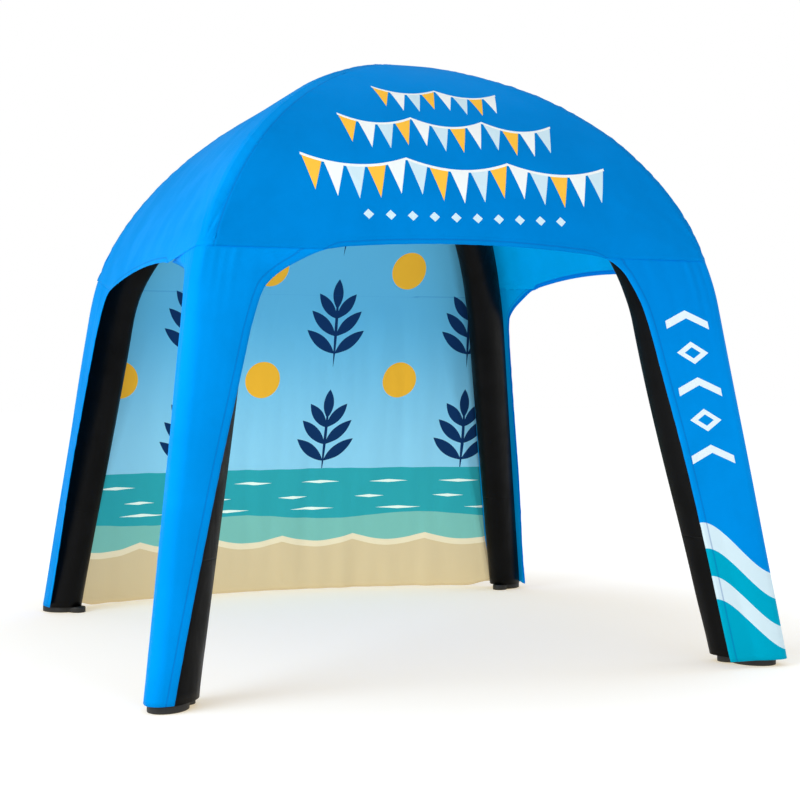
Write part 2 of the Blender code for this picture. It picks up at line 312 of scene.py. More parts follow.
def objectSpace(tree):
    return newNode(tree, "TexCoord").outputs["Object"]


def softNoise(tree, place, scale, detail, distortion=0.0):
    node = newNode(tree, "TexNoise")
    for name, value in (("Scale", scale), ("Detail", detail), ("Distortion", distortion)):
        feed(tree, node.inputs[name], value)
    tree.links.new(place, node.inputs["Vector"])
    return node.outputs["Fac"]


def newMaterial(name):
    made = bpy.data.materials.new(name)
    made.use_nodes = True
    return made, made.node_tree, made.node_tree.nodes["Principled BSDF"]


def dress(tree, shader, colour, roughness, gloss):
    feed(tree, shader.inputs["Base Color"], colour)
    feed(tree, shader.inputs["Roughness"], roughness)
    shader.inputs["Specular IOR Level"].default_value = gloss


def newGroup(name, inputs, outputs):
    group = bpy.data.node_groups.new(name, "ShaderNodeTree")
    for socket, kind in inputs:
        group.interface.new_socket(name=socket, in_out="INPUT", socket_type=kind)
    for socket, kind in outputs:
        group.interface.new_socket(name=socket, in_out="OUTPUT", socket_type=kind)
    return group, group.nodes.new("NodeGroupInput").outputs, group.nodes.new("NodeGroupOutput").inputs


def useGroup(tree, group, **values):
    node = newNode(tree, "Group")
    node.node_tree = group
    for name, value in values.items():
        feed(tree, node.inputs[name], value)
    return node.outputs


number, vectorKind = "NodeSocketFloat", "NodeSocketVector"

weave, given, put = newGroup("weave", (("Cloth", vectorKind), ("Pitch", number)), (("Height", number),))
across, up, _ = splitUp(weave, given["Cloth"])
turns = over(weave, 2 * math.pi, given["Pitch"])
warp = wave(weave, times(weave, across, turns))
weft = wave(weave, times(weave, up, turns))
weave.links.new(times(weave, warp, weft), put["Height"])

stitchShape = {"gap": 0.28, "thread": (0.0007, 0.0016), "valleyAndShade": (0.0005, 0.0065)}
stitching, given, put = newGroup(
    "stitching",
    (("Away", number), ("Along", number), ("Row", number), ("Pitch", number)),
    (("Thread", number), ("Valley", number)),
)
away = size(stitching, minus(stitching, given["Away"], given["Row"]))
dash = toAndFro(stitching, given["Along"], given["Pitch"])
dashOn = more(stitching, dash, times(stitching, given["Pitch"], stitchShape["gap"]))
thread = ramp(stitching, away, *stitchShape["thread"], 1.0, 0.0)
stitching.links.new(times(stitching, dashOn, thread), put["Thread"])
stitching.links.new(ramp(stitching, away, *stitchShape["valleyAndShade"], 1.0, 0.0), put["Valley"])

softShape = {"patchEdges": (0.3, 0.7), "creaseScale": (7.0, 7.0, 2.4)}  # creases run mostly upwards
softCloth, given, put = newGroup(
    "softCloth", (("Place", vectorKind), ("Size", number)), (("Tone", number), ("Height", number))
)
patches = softNoise(softCloth, given["Place"], given["Size"], 3.0)
softCloth.links.new(ramp(softCloth, patches, *softShape["patchEdges"]), put["Tone"])
stretched = newNode(softCloth, "Mapping")
stretched.inputs["Scale"].default_value = softShape["creaseScale"]
softCloth.links.new(given["Place"], stretched.inputs["Vector"])
softCloth.links.new(softNoise(softCloth, stretched.outputs[0], 1.0, 2.0, 0.6), put["Height"])

leafInputs = (
    *((key, vectorKind) for key in ("Place", "Base")),
    *((key, number) for key in ("Turn", "Length", "Width")),
)
leafShape, given, put = newGroup("leafShape", leafInputs, (("Mask", number),))
onLeaf = newNode(leafShape, "Mapping")
onLeaf.vector_type = "TEXTURE"
leafShape.links.new(given["Place"], onLeaf.inputs["Vector"])
leafShape.links.new(given["Base"], onLeaf.inputs["Location"])
leafShape.links.new(joinUp(leafShape, 0.0, 0.0, given["Turn"]), onLeaf.inputs["Rotation"])
along, side, _ = splitUp(leafShape, onLeaf.outputs[0])
share = over(leafShape, along, given["Length"])
bulge = times(leafShape, times(leafShape, share, minus(leafShape, 1.0, share)), 4.0)
wide = times(leafShape, bulge, given["Width"])
leafShape.links.new(less(leafShape, size(leafShape, side), wide), put["Mask"])

# Prints. Each takes the cloth's own metric map and what is under it, and gives the colour.

wallPaint = {
    "skyTopShaded": (86, 165, 200),
    "skyLow": (128, 190, 216),
    "leaf": (16, 46, 86),
    "disc": (217, 165, 48),
    "teal": (42, 150, 160),
    "tealLow": (112, 176, 168),
    "foam": (214, 232, 222),
    "sand": (198, 182, 146),
    "sandPale": (216, 207, 178),
}
wallPrint = {
    "fade": (0.8, 1.9),
    "cell": (0.46, 0.70),  # a column of sprigs, then one of discs, each dropped by half
    "radius": 0.115,
    "horizon": 0.82,
    "swell": (0.50, 5.2, 0.018),  # height of the lower band's edge, its waves in x and their depth
    "scallop": (6.5, 0.045),  # the sand's edge in the same way
    "sandLevels": (0.375, 0.335),
    "slivers": (  # height, shift, distance apart and length of each row
        (0.73, 0.00, 0.46, 0.26),
        (0.63, 0.21, 0.52, 0.20),
        (0.55, 0.10, 0.58, 0.30),
    ),
    "sliverHalf": 0.010,
}
sprig = (
    # height where each leaf starts, its angle in degrees, length and half width; the stem comes first
    (-0.27, 90, 0.52, 0.010),
    (0.10, 90, 0.19, 0.034),
    (-0.18, 38, 0.24, 0.036),
    (-0.18, 142, 0.24, 0.036),
    (-0.07, 44, 0.23, 0.036),
    (-0.07, 136, 0.23, 0.036),
    (0.04, 52, 0.20, 0.034),
    (0.04, 128, 0.20, 0.034),
)


def fromMiddle(tree, value, period):
    # how far a value is from the middle of its own period
    return minus(tree, within(tree, value, period), period / 2)


def anyOf(tree, masks):
    found = masks[0]
    for mask in masks[1:]:
        found = maths(tree, "MAXIMUM", found, mask)
    return found


def sprigMask(tree, cell):
    leaves = []
    for height, angle, length, width in sprig:
        base, turn = (0, height, 0), math.radians(angle)
        leaf = useGroup(tree, leafShape, Place=cell, Base=base, Turn=turn, Length=length, Width=width)
        leaves.append(leaf["Mask"])
    return anyOf(tree, leaves)


def sliverMask(tree, x, z):
    rows = []
    for height, offset, period, length in wallPrint["slivers"]:
        inX = size(tree, fromMiddle(tree, plus(tree, x, offset), period))
        share = over(tree, inX, length / 2)
        thick = times(tree, minus(tree, 1.0, share), wallPrint["sliverHalf"])
        rows.append(less(tree, size(tree, minus(tree, z, height)), thick))
    return anyOf(tree, rows)


def printWall(tree, cloth, _):
    look = wallPrint
    x, z, _ = splitUp(tree, cloth)
    paint = {key: toLinear(*shade) for key, shade in wallPaint.items()}
    # the print's sky is painted darker towards the top: painted shade, where less light reaches the wall
    colour = blend(tree, ramp(tree, z, *look["fade"]), paint["skyLow"], paint["skyTopShaded"])
    width, tall = look["cell"]
    column = whole(tree, over(tree, x, width))
    odd = toAndFro(tree, column, 1.0)
    drop = times(tree, toAndFro(tree, times(tree, column, 0.5), 1.0), tall)
    inX, inZ = fromMiddle(tree, x, width), fromMiddle(tree, plus(tree, z, drop), tall)
    squares = plus(tree, power(tree, inX, 2.0), power(tree, inZ, 2.0))
    disc = less(tree, maths(tree, "SQRT", squares), look["radius"])
    colour = blend(tree, times(tree, disc, odd), colour, paint["disc"])
    leaves = sprigMask(tree, joinUp(tree, inX, inZ))
    colour = blend(tree, times(tree, leaves, minus(tree, 1.0, odd)), colour, paint["leaf"])
    # the plain bands below
    below = less(tree, z, look["horizon"])
    colour = blend(tree, below, colour, paint["teal"])
    level, waves, deep = look["swell"]
    swell = times(tree, wave(tree, times(tree, x, waves)), deep)
    colour = blend(tree, less(tree, plus(tree, z, swell), level), colour, paint["tealLow"])
    colour = blend(tree, times(tree, below, sliverMask(tree, x, z)), colour, paint["foam"])
    waves, deep = look["scallop"]
    onSand = plus(tree, z, times(tree, size(tree, wave(tree, times(tree, x, waves))), deep))
    for level, shade in zip(look["sandLevels"], ("sandPale", "sand")):
        colour = blend(tree, less(tree, onSand, level), colour, paint[shade])
    return colour


bunting = {
    "white": (240, 246, 250),
    "ochre": (253, 195, 70),
    "pale": (205, 231, 246),
    # the lighter blue that the painted light reaches at the crown
    "crown": (0, 146, 238),
    "litTowardsCrown": (0.85, 1.75),  # painted light: the blue ground is lighter towards the crown, where light from above falls on it
    "rows": (
        # height of the cord's pins, half span, swag's span, flag's length and width
        (1.33, 0.34, 0.34, 0.17, 0.085),
        (1.04, 0.57, 0.38, 0.18, 0.095),
        (0.74, 0.795, 0.53, 0.19, 0.106),
    ),
    "sag": 0.06,
    "cordHalf": 0.008,
    "flagShare": 0.46,  # a flag's half width at its top, of its place's width
    "diamonds": (0.41, 0.55, 0.11, 0.026),  # height, half span, distance apart and half size
}


def printBunting(tree, cloth, colour):
    look = bunting
    x, y, _ = splitUp(tree, cloth)
    white, ochre, pale, crown = (toLinear(*look[key]) for key in ("white", "ochre", "pale", "crown"))
    side = size(tree, x)
    # painted light: the ground turns lighter towards the crown
    colour = blend(tree, ramp(tree, y, *look["litTowardsCrown"]), colour, crown)
    for pins, halfSpan, swag, length, width in look["rows"]:
        fromEnd = plus(tree, x, halfSpan)
        index = whole(tree, over(tree, fromEnd, width))
        third = within(tree, index, 3.0)
        flagColour = blend(tree, more(tree, third, 0.5), ochre, white)
        flagColour = blend(tree, more(tree, third, 1.5), flagColour, pale)
        inSwag = minus(tree, maths(tree, "FRACT", over(tree, fromEnd, swag)), 0.5)
        hang = minus(tree, 1.0, power(tree, times(tree, inSwag, 2.0), 2.0))
        depth = minus(tree, minus(tree, pins, times(tree, hang, look["sag"])), y)
        inside = less(tree, side, halfSpan)
        left = minus(tree, 1.0, over(tree, depth, length))
        inFlag = size(tree, fromMiddle(tree, fromEnd, width))
        flag = less(tree, inFlag, times(tree, left, width * look["flagShare"]))
        flag = times(tree, flag, more(tree, depth, 0.0))
        colour = blend(tree, times(tree, flag, inside), colour, flagColour)
        cord = less(tree, size(tree, depth), look["cordHalf"])
        colour = blend(tree, times(tree, cord, inside), colour, white)
    height, halfSpan, apart, half = look["diamonds"]
    around = plus(tree, size(tree, fromMiddle(tree, x, apart)), size(tree, minus(tree, y, height)))
    diamond = times(tree, less(tree, around, half), less(tree, side, halfSpan))
    return blend(tree, diamond, colour, pale)


legPrint = {
    "white": (225, 240, 250),
    "pale": (210, 233, 245),
    "teal": (0, 165, 200),
    "shoulderShade": (0, 131, 217),
    "shadesUpwards": (1.1, 1.9),  # painted shade: the front of the leg is a deeper blue towards the shoulder
    "frontEdge": (-0.04, 0.01),
    "stack": (0.955, 1.78),  # heights between which the ornament stands
    "step": 0.165,
    "middle": -0.215,
    "chevron": (0.45, 0.025, 0.0195, 0.120),  # slope, rise, half thickness and half width
    "diamond": (0.62, 0.055, 0.028),  # height over width, half height and that of its hole
    "stripes": (0.578, 0.453, 0.320, 0.209),
    "crest": -0.345,
    "swing": 0.13,
    "half": 0.36,  # from a crest to a trough
}


def ornament(tree, x, y):
    # chevrons and diamonds by turns, up the front of the leg
    look = legPrint
    low, high = look["stack"]
    rise = minus(tree, y, low)
    inStep = fromMiddle(tree, rise, look["step"])
    odd = toAndFro(tree, whole(tree, over(tree, rise, look["step"])), 1.0)
    side = size(tree, minus(tree, x, look["middle"]))
    slope, lift, half, wide = look["chevron"]
    fold = minus(tree, plus(tree, inStep, times(tree, side, slope)), lift)
    chevron = times(tree, less(tree, size(tree, fold), half), less(tree, side, wide))
    squash, outer, inner = look["diamond"]
    around = plus(tree, times(tree, side, squash), size(tree, inStep))
    diamond = times(tree, less(tree, around, outer), more(tree, around, inner))
    shape = plus(tree, times(tree, chevron, minus(tree, 1.0, odd)), times(tree, diamond, odd))
    return times(tree, shape, times(tree, more(tree, y, low), less(tree, y, high)))


def printLeg(tree, cloth, colour):
    look = legPrint
    x, y, _ = splitUp(tree, cloth)
    # painted shade: the front side of the cover is darker towards the shoulder
    front = ramp(tree, x, *look["frontEdge"], 1.0, 0.0)
    shadedUpper = times(tree, ramp(tree, y, *look["shadesUpwards"]), front)
    colour = blend(tree, shadedUpper, colour, toLinear(*look["shoulderShade"]))
    colour = blend(tree, ornament(tree, x, y), colour, toLinear(*look["white"]))
    # curved stripes over the foot
    angle = times(tree, minus(tree, x, look["crest"]), math.pi / look["half"])
    level = minus(tree, y, times(tree, maths(tree, "COSINE", angle), look["swing"]))
    for edge, shade in zip(look["stripes"], ("pale", "teal", "pale", "teal")):
        colour = blend(tree, less(tree, level, edge), colour, toLinear(*look[shade]))
    return colour


clothFinish = {
    "patches": (3.2, 0.92),  # how close the deeper patches lie, and how deep they are
    "weave": (0.0016, 0.00010),
    "creases": 0.006,
    "stitch": 0.0045,
    "valleyAndShade": (0, 84, 170),
    "valleyShadeShare": 0.42,
    "valleyDeep": 0.0016,
    "thread": (70, 160, 235),
    "threadShare": 0.14,
    "threadHigh": 0.0008,
    "hemEdge": (0.0395, 0.0425),
    "hemHigh": 0.0012,  # the hem is folded double
    "hemInside": (0.022, 0.026),
    "relief": 0.55,
    "roughness": (0.58, 0.48),
    "gloss": 0.01,
    "sheen": (0.08, 0.55, 1.0, 1.0),  # the dyed cloth gives back blue
}


def addRelief(tree, shader, height, strength, distance=1.0):
    bump = newNode(tree, "Bump")
    bump.inputs["Distance"].default_value = distance
    bump.inputs["Strength"].default_value = strength
    tree.links.new(height, bump.inputs["Height"])
    tree.links.new(bump.outputs[0], shader.inputs["Normal"])


def clothMaterial(name, colour, rows, paints=None, paintedGlow=0.0, hemShade=None):
    # rows: (distance attribute, length attribute, distance of the stitch row)
    finish = clothFinish
    made, tree, shader = newMaterial(name)
    cloth = clothSpace(tree)
    close, dark = finish["patches"]
    soft = useGroup(tree, softCloth, Place=objectSpace(tree), Size=close)
    deep = tuple(c * dark for c in colour[:3]) + (1.0,)
    base = blend(tree, soft["Tone"], deep, colour)
    if paints:
        base = paints(tree, cloth, base)
    # painted shade: the folded hem on the inner faces is darker, as the doubled cloth lets less light
    # through
    if hemShade:
        folded = ramp(tree, attribute(tree, "hem"), *finish["hemInside"], 1.0, 0.0)
        base = blend(tree, folded, base, hemShade)
    pitch, threadHeight = finish["weave"]
    height = times(tree, useGroup(tree, weave, Cloth=cloth, Pitch=pitch)["Height"], threadHeight)
    height = plus(tree, height, times(tree, soft["Height"], finish["creases"]))
    for distance, length, row in rows:
        away, along = attribute(tree, distance), attribute(tree, length)
        line = useGroup(tree, stitching, Away=away, Along=along, Row=row, Pitch=finish["stitch"])
        # painted shade: the stitch valley is darkened in colour as well as sunk
        valleyAndShade = times(tree, line["Valley"], finish["valleyShadeShare"])
        base = blend(tree, valleyAndShade, base, toLinear(*finish["valleyAndShade"]))
        thread = times(tree, line["Thread"], finish["threadShare"])
        base = blend(tree, thread, base, toLinear(*finish["thread"]))
        height = minus(tree, height, times(tree, line["Valley"], finish["valleyDeep"]))
        height = plus(tree, height, times(tree, line["Thread"], finish["threadHigh"]))
    hem = ramp(tree, attribute(tree, "hem"), *finish["hemEdge"], finish["hemHigh"], 0.0)
    addRelief(tree, shader, plus(tree, height, hem), finish["relief"])
    roughness = ramp(tree, soft["Tone"], 0.0, 1.0, *finish["roughness"])
    dress(tree, shader, base, roughness, finish["gloss"])
    shader.inputs["Specular Tint"].default_value = finish["sheen"]
    # painted light: the cloth glows in its own colour, standing in for daylight shining through it
    if paintedGlow:
        tree.links.new(base, shader.inputs["Emission Color"])
        shader.inputs["Emission Strength"].default_value = paintedGlow
    return made


# the front roof panel's blue is painted darker than the rest of the canopy: painted shade
canopy, canopyFrontShaded = toLinear(0, 141, 228), toLinear(0, 130, 214)
# the second blue is the painted shade of the folded hems on the inside
wallBlue, hemShade = toLinear(100, 175, 210), toLinear(0, 108, 196)
hemRows = (("hem", "hemRun", 0.037),)
roofRows = (("hem", "hemRun", 0.024), ("seam", "seamRun", 0.010))
roofCloth = clothMaterial("canopyCloth", canopy, roofRows)
roofFront = clothMaterial("canopyPrintedShaded", canopyFrontShaded, roofRows, printBunting)
coverCloth = clothMaterial("coverCloth", canopy, hemRows)
coverPrintedShaded = clothMaterial("coverPrintedShaded", canopy, hemRows, printLeg)
# the inner faces and the wall's printed inside glow: painted light through the cloth
underRoof = clothMaterial("underRoof", toLinear(0, 150, 215), roofRows[:1], paintedGlow=0.5, hemShade=hemShade)
underCover = clothMaterial("underCover", toLinear(0, 148, 215), hemRows, paintedGlow=0.45, hemShade=hemShade)
wallRows = (("seam", "seamRun", 0.0),)
wallInside = clothMaterial("wallPrinted", wallBlue, wallRows, printWall, paintedGlow=0.35)
wallOutside = clothMaterial("wallBack", wallBlue, wallRows, printWall)
print("cloth materials made")

sleeveFinish = {
    "black": ((2, 2, 2), (6, 6, 7)),
    "patches": 6.0,
    "weave": (0.0018, 0.00012),
    "creases": 0.012,
    "joint": (0.62, 0.0045, 0.003),  # height of the seam round the sleeve, its stitches and depth
    "relief": 0.5,
    "roughness": (0.50, 0.38),
    "gloss": 0.09,
}


def sleeveMaterial():
    finish = sleeveFinish
    made, tree, shader = newMaterial("sleeveCloth")
    soft = useGroup(tree, softCloth, Place=objectSpace(tree), Size=finish["patches"])
    base = blend(tree, soft["Tone"], *(toLinear(*shade) for shade in finish["black"]))
    pitch, threadHigh = finish["weave"]
    woven = useGroup(tree, weave, Cloth=clothSpace(tree), Pitch=pitch)["Height"]
    height = times(tree, woven, threadHigh)
    height = plus(tree, height, times(tree, soft["Height"], finish["creases"]))
    z = splitUp(tree, objectSpace(tree))[2]
    level, pitch, deep = finish["joint"]
    joint = useGroup(tree, stitching, Away=z, Along=z, Row=level, Pitch=pitch)["Valley"]
    addRelief(tree, shader, minus(tree, height, times(tree, joint, deep)), finish["relief"])
    roughness = ramp(tree, soft["Tone"], 0.0, 1.0, *finish["roughness"])
    dress(tree, shader, base, roughness, finish["gloss"])
    return made


rubberFinish = {
    "colour": (20, 20, 21),
    "scuffed": (48, 47, 46),
    "scuffHeight": 0.012,
    "grain": (260.0, 2.0),
    "relief": (0.6, 0.0004),
    "roughness": (0.3, 0.7, 0.50, 0.66),
    "gloss": 0.5,
}


def rubberMaterial():
    finish = rubberFinish
    made, tree, shader = newMaterial("footRubber")
    place = objectSpace(tree)
    grain = softNoise(tree, place, *finish["grain"])
    scuff = times(tree, ramp(tree, splitUp(tree, place)[2], 0.0, finish["scuffHeight"], 1.0, 0.0), grain)
    base = blend(tree, scuff, toLinear(*finish["colour"]), toLinear(*finish["scuffed"]))
    addRelief(tree, shader, grain, *finish["relief"])
    dress(tree, shader, base, ramp(tree, grain, *finish["roughness"]), finish["gloss"])
    return made


sleeveCloth = sleeveMaterial()
footRubber = rubberMaterial()

# Pieces


def addObject(name, data):
    made = bpy.data.objects.new(name, data)
    collection.objects.link(made)
    return made


def finishPiece(name, bm, materials, node):
    for face in bm.faces:
        face.smooth = True
    mesh = bpy.data.meshes.new(name)
    bm.to_mesh(mesh)
    bm.free()
    for item in materials:
        mesh.materials.append(item)
    made = addObject(name, mesh)
    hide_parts(node)
    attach(made, "root")
    return made


def mapCloth(bm, spot):
    clothMap = bm.loops.layers.uv.new("cloth")
    for face in bm.faces:
        for loop in face.loops:
            loop[clothMap].uv = spot(loop.vert)


def clothGrid(look, place):
    # a grid put in place by place(u, v), then lifted along its normals, with its distances kept on it
    bm = bmesh.new()
    bmesh.ops.create_grid(bm, x_segments=look["columns"], y_segments=look["rows"], size=0.5)
    layers = {key: bm.verts.layers.float.new(key) for key in ("hem", "hemRun", "seam", "seamRun")}
    facts = {}
    for vert in bm.verts:
        vert.co, facts[vert] = place(vert.co.x + 0.5, vert.co.y + 0.5)
        for key, layer in layers.items():
            vert[layer] = facts[vert].get(key, 1.0)
    bmesh.ops.recalc_face_normals(bm, faces=bm.faces)
    inside = Vector((0, centreY, 0.9))
    outwards = sum(face.normal.dot(face.calc_center_median() - inside) for face in bm.faces)
    if outwards < 0:
        bmesh.ops.reverse_faces(bm, faces=bm.faces)
    bm.normal_update()
    for vert in bm.verts:
        vert.co += vert.normal * facts[vert]["lift"]
    mapCloth(bm, lambda vert: facts[vert]["cloth"])
    return bm


def sewCloth(name, look, place, cloths, node):
    bm = clothGrid(look, place)
    area = sum(face.calc_area() for face in bm.faces)
    made = finishPiece(name, bm, cloths, node)
    solid = made.modifiers.new("cloth", "SOLIDIFY")
    solid.thickness = plan["cloth"]
    solid.offset = -1
    solid.use_even_offset = True
    solid.material_offset = 1
    print(name, "area", round(area, 3))
    return made, area


def bevel(bm, edges, width, steps):
    bmesh.ops.bevel(
        bm, geom=edges, offset=width, segments=steps, profile=0.5, affect="EDGES", material=-1
    )


def pucker(along, away, folds, turn):
    # small folds that stand off an edge and die out away from it
    spacing, phase, length, fade = folds
    return ripple(along / spacing, phase + away / length, turn) * math.exp(-away / fade)


def drape(x, y, folds, phase):
    # broad folds of a given height, width and length
    high, wide, tall = folds
    return high * ripple(x / wide, y / tall, phase)


roofLook = {
    "columns": 120,
    "rows": 120,
    "cornerStarts": 0.78,  # share of a panel's columns before the round of its ridge
    "archRise": 0.034,
    "tip": 0.995,
    "lap": 0.003,
    "lapShare": 0.1,  # the lap is never more than this share of its side
    "lapOver": 0.012,  # a panel's first edge lies this far over its neighbour
    "hemOver": 0.010,  # and its lower edge this far over the leg covers
    "overEase": (-0.05, 0.06),
    "seamEase": (0.010, 0.030),  # the lapped edges come down to the level of the rest
    "hemEase": (0.008, 0.030),
    "hemLeaves": 0.5,  # past the doorway the row of stitches leaves the edge by this share
    "crownEase": (0.0, 0.25),
    "crest": (0.006, 0.009, 0.16),  # height and width of the fold along each ridge, and where it starts
    "pucker": 0.0036,
    "slant": 0.8,
    "seamFolds": (0.035, 0.0, 0.4, 0.10),  # spacing, phase, length and reach
    "ridgeFolds": (0.030, 7.0, 0.4, 0.08),
    "hemFolds": (0.030, 3.0, 0.4, 0.09),
    "pull": 0.011,  # folds that spread from each shoulder, the spacing as an angle
    "fans": ((1 / 7, 1.0, 0.5, 0.25), (1 / 7, 5.0, 0.5, 0.25)),
    "fanEase": (0.02, 0.12),
    "broad": (0.003, 0.45, 0.6),
    "broadEase": (0.0, 0.2),
}


def roofPanel(side, turn):
    look = roofLook
    seamHalf = halfWidth(plan["seamHeight"])
    doorHalf = seamHalf - reach(plan["seamHeight"])
    raised = plan["cloth"] + plan["gap"]
    falls = corners[turn][4][1], corners[(turn + 1) % 4][4][0]

    def runAt(u, half):
        length = sideLength(half)
        lap = min(plan["corner"] * math.pi / 4 + look["lap"], length * look["lapShare"])
        start = lap + plan["gap"] - look["lapOver"] * min(length, 1)
        corner = length - cornerRadius(half) * math.pi / 4
        end = length + lap - plan["gap"]
        turnsAt = look["cornerStarts"]
        if u <= turnsAt:
            return start, start + (corner - start) * u / turnsAt
        return start, corner + (end - corner) * (u - turnsAt) / (1 - turnsAt)

    def place(u, v):
        seamRun = runAt(u, seamHalf)[1]
        across = onSide(seamHalf, seamRun)[0]
        rise = look["archRise"] * max(1 - (across / doorHalf) ** 2, 0)
        rise -= look["hemOver"] * smooth(*look["overEase"], abs(across) - doorHalf)
        rise -= seamDrop(seamRun, sideLength(seamHalf), falls)
        low = curveShare(plan["seamHeight"] + rise)
        t = low + (look["tip"] - low) * v
        half, height = roofCurve(t)
        start, run = runAt(u, half)
        length = sideLength(half)
        x, y = onSide(half, run)
        up = roofArc(t)
        hem, seam, ridge = up - roofArc(low), run - start, abs(run - length)
        fade = smooth(*look["crownEase"], half)
        lift = raised * (1 - smooth(*look["seamEase"], seam))
        lift += raised * (1 - smooth(*look["hemEase"], hem))
        high, wide, starts = look["crest"]
        lift += high * math.exp(-ridge / wide) * fade * smooth(0.0, starts, hem)
        small = pucker(up, seam, look["seamFolds"], turn)
        small += pucker(up + look["slant"] * (run - length), ridge, look["ridgeFolds"], turn)
        small += pucker(run, hem, look["hemFolds"], turn)
        lift += look["pucker"] * fade * small
        lift += drape(run, up, look["broad"], 9.0 + turn) * fade * smooth(*look["broadEase"], hem)
        for aside, folds in zip((abs(run), ridge), look["fans"]):
            spread = math.hypot(aside, hem)
            fan = pucker(math.atan2(hem, aside), spread, folds, turn)
            lift += look["pull"] * fan * smooth(*look["fanEase"], spread)
        facts = {"cloth": (run - length / 2, up), "seam": seam, "seamRun": up, "lift": lift}
        facts |= {"hem": hem + max(abs(across) - doorHalf, 0) * look["hemLeaves"], "hemRun": run}
        return placed(Vector((x, y, height)), turn, half), facts

    cloths = roofFront if side == "front" else roofCloth, underRoof
    return sewCloth("roofPanel_" + side, look, place, cloths, "roof_" + side)


coverLook = {
    "columns": 72,
    "rows": 90,
    "rowsCrowd": 1.2,
    "columnsCrowd": 0.55,
    "tuck": 0.022,
    "tuckStart": 0.08,
    "tuckTop": 1.10,
    "wrapTop": 1.88,
    "wrapBase": 0.5,
    "fallStart": 1.30,
    "flareStep": 0.01,
    "gather": 0.0085,
    "gatherFolds": (0.036, 5.0, 0.7, 0.3),
    "gatherEase": (0.03, 0.12),  # from the seam and from the hems
    "pull": 0.0024,
    "pullFolds": (0.05, 2.0, 0.3, 0.06),
    "pullEase": 0.05,
    "broad": (0.004, 0.22, 0.7),
    "broadEase": (0.3, 0.1),  # from the seam and from the foot
}


def coverTuck(height, inwards, wrap=0.0):
    look = coverLook
    reached = reach(min(height, plan["seamHeight"]))
    past = (inwards - look["tuckStart"]) / (reached - look["tuckStart"])
    deep = look["tuck"] * (1 - smooth(0, look["tuckTop"], height))
    deep += wrap * (height + look["wrapBase"]) * (1 - smooth(look["wrapTop"], plan["seamHeight"], height))
    return deep * min(max(past, 0), 1) ** 2


def legCover(corner, turn, before, after, falls, wrap):
    look = coverLook
    bottom = plan["footHeight"] + 2 * plan["gap"]
    top = plan["seamHeight"]
    step = look["flareStep"]

    def place(u, v):
        height = bottom + (top - bottom) * (1 - (1 - v) ** look["rowsCrowd"])
        change, fall = (after, falls[1]) if u > 0.5 else (before, falls[0])
        arm = reach(height, change) - plan["corner"] * (1 - math.pi / 4)
        across = 2 * u - 1
        run = arm * (across + (across**3 - across) * look["columnsCrowd"])
        down = top - height
        drawn = smooth(look["fallStart"], top, height)
        height -= drawn * seamDrop(abs(run), sideLength(halfWidth(top)), (fall, 0))
        half = halfWidth(height)
        x, y = onSide(half, run)
        if run > 0:
            y += coverTuck(height, half + x, wrap)
        else:
            x += coverTuck(height, half + y, wrap)
        flare = (reach(height + step, change) - reach(height - step, change)) / (2 * step)
        hem = (arm - abs(run)) / math.hypot(1, flare)
        offSeam, offHem = look["gatherEase"]
        gather = look["gather"] * pucker(run, down, look["gatherFolds"], turn)
        lift = gather * smooth(0, offSeam, down) * smooth(0, offHem, hem)
        pull = look["pull"] * pucker(height, hem, look["pullFolds"], turn * 3.0)
        lift += pull * smooth(0, look["pullEase"], down)
        offSeam, offFoot = look["broadEase"]
        broad = drape(run, height, look["broad"], 4.0 + turn)
        lift += broad * smooth(0, offSeam, down) * smooth(0, offFoot, height)
        facts = {"cloth": (run, height), "hem": hem, "hemRun": height, "lift": lift}
        return placed(Vector((x, y, height)), turn, half), facts

    # the front right cover carries the print and its painted shade
    cloths = coverPrintedShaded if corner == "front_right" else coverCloth, underCover
    return sewCloth("legCover_" + corner, look, place, cloths, "leg_cover_" + corner)


sleeveLook = {
    "footAcross": 0.107,
    "crown": (0.190, 0.118),
    "space": 0.012,
    "knee": 0.47,
    "step": 0.005,
    "level": 0.12,
    "block": 0.15,
    "around": 48,
    "rows": 90,
    "creases": ((0.0022, 2.2, 5), (0.0016, 5, 2)),  # height, and how close they lie round it and up it
    "creaseEase": (0.01, 0.1),
    "mapSize": (0.8, 4.0),
}


def canopyStation(v):
    knee = sleeveLook["knee"]
    if v >= knee:
        return roofCurve((v - knee) / (1 - knee))
    bottom = plan["footHeight"] + plan["gap"]
    height = bottom + (plan["kneeHeight"] - bottom) * v / knee
    return halfWidth(height), height


def legStation(v, footDepth, kneeDepth):
    look = sleeveLook
    half, height = canopyStation(v)
    ahead, behind = canopyStation(min(v + look["step"], 1)), canopyStation(max(v - look["step"], 0))
    inwards = ridgeOut(behind[0]) - ridgeOut(ahead[0])
    grown = smooth(0, look["knee"], v)
    along = footDepth + (kneeDepth - footDepth) * grown
    along += (look["crown"][0] - kneeDepth) * smooth(look["knee"], 1, v)
    across = look["footAcross"] + (look["crown"][1] - look["footAcross"]) * grown
    tilt = math.atan2(inwards, ahead[1] - behind[1]) * smooth(0, look["level"], v)
    out = ridgeOut(half) - along * math.cos(tilt)
    rise = height - along * math.sin(tilt)
    return out, rise, tilt, along - look["space"], across - look["space"]


